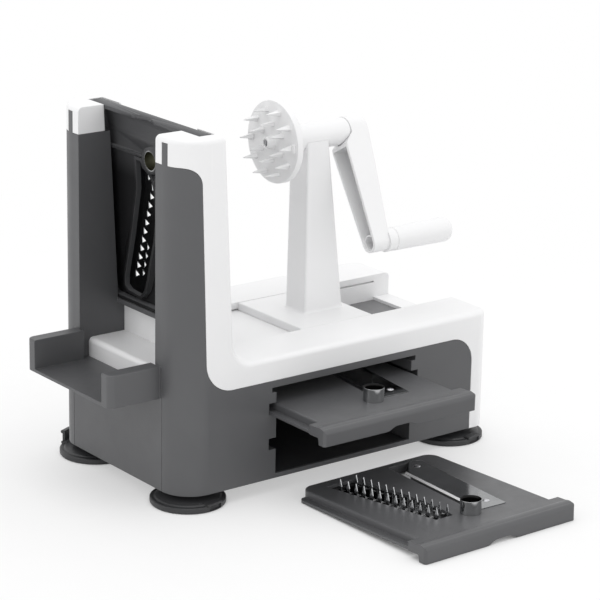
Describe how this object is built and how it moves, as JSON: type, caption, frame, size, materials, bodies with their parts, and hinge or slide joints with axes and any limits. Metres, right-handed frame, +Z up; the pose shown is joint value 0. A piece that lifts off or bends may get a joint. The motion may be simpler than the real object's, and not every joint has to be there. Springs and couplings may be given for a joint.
{
  "type": "spiralizer with crank",
  "caption": "Hand-cranked spiralizer: two-tone housing on suction feet, sliding crank carriage with spiked disc, catch tray and blade plates.",
  "frame": {"origin": "middle of the footprint of the whole set, at table height", "axes": "+Z up, +X from the blade tower towards the crank, -Y towards the storage bay's open face"},
  "size_m": [0.3509, 0.3544, 0.2834],
  "materials": {
    "white": "smooth satin white",
    "grey": "fine satin grey",
    "dark_grey": "satin",
    "rubber": "soft sheen",
    "stud_plastic": "satin",
    "bush_plastic": "smooth",
    "steel": "satin",
    "blade_steel": "fine brushed",
    "chrome": "polished"
  },
  "bodies": {
    "housing": {"lower_housing": "grey", "upper_housing": "white", "base_plate": "dark_grey", "end_tray": "grey", "discharge_step": "white", "foot_front_left": "rubber", "foot_rear_left": "rubber", "foot_front_right": "rubber", "foot_rear_right": "rubber", "foot_studs": "stud_plastic", "housing_screws": "steel"},
    "carriage": {"carriage": "white", "hub_bush_disc_side": "bush_plastic", "hub_bush_crank_side": "bush_plastic"},
    "crank": {"crank_shaft": "steel", "spiked_disc": "white", "disc_screw": "steel", "crank_arm": "white", "grip_pin": "steel"},
    "grip": {"crank_grip": "white"},
    "tower_plate": {"fine_plate": "grey", "fine_teeth": "blade_steel", "fine_blade": "blade_steel", "fine_rivets": "steel", "fine_coring_tube": "chrome"},
    "stored_plate": {"slicer_plate": "grey", "slicer_blade": "blade_steel", "slicer_rivets": "steel", "slicer_coring_tube": "chrome"},
    "loose_plate": {"chip_plate": "grey", "chip_teeth": "blade_steel", "chip_blade": "blade_steel", "chip_rivets": "steel", "chip_coring_tube": "chrome"}
  },
  "joints": [
    {"name": "carriage_slide", "type": "slide", "parent": "housing", "child": "carriage", "axis": [1, 0, 0], "range_m": [-0.084, 0.069]},
    {"name": "crank_spin", "type": "hinge", "parent": "carriage", "child": "crank", "pos_m": [0.04876, 0.08419, 0.2487], "axis": [1, 0, 0], "continuous": true},
    {"name": "grip_spin", "type": "hinge", "parent": "crank", "child": "grip", "pos_m": [0.12576, 0.03818, 0.16869], "axis": [1, 0, 0], "continuous": true},
    {"name": "tower_plate_lift", "type": "slide", "parent": "housing", "child": "tower_plate", "axis": [-0.0523, 0, 0.9986], "range_m": [0, 0.165]},
    {"name": "stored_plate_slide", "type": "slide", "parent": "housing", "child": "stored_plate", "axis": [0, -1, 0], "range_m": [-0.0495, 0.075]},
    {"name": "loose_plate_lift", "type": "slide", "parent": "housing", "child": "loose_plate", "axis": [0, 0, 1], "range_m": [0, 0.035]}
  ]
}
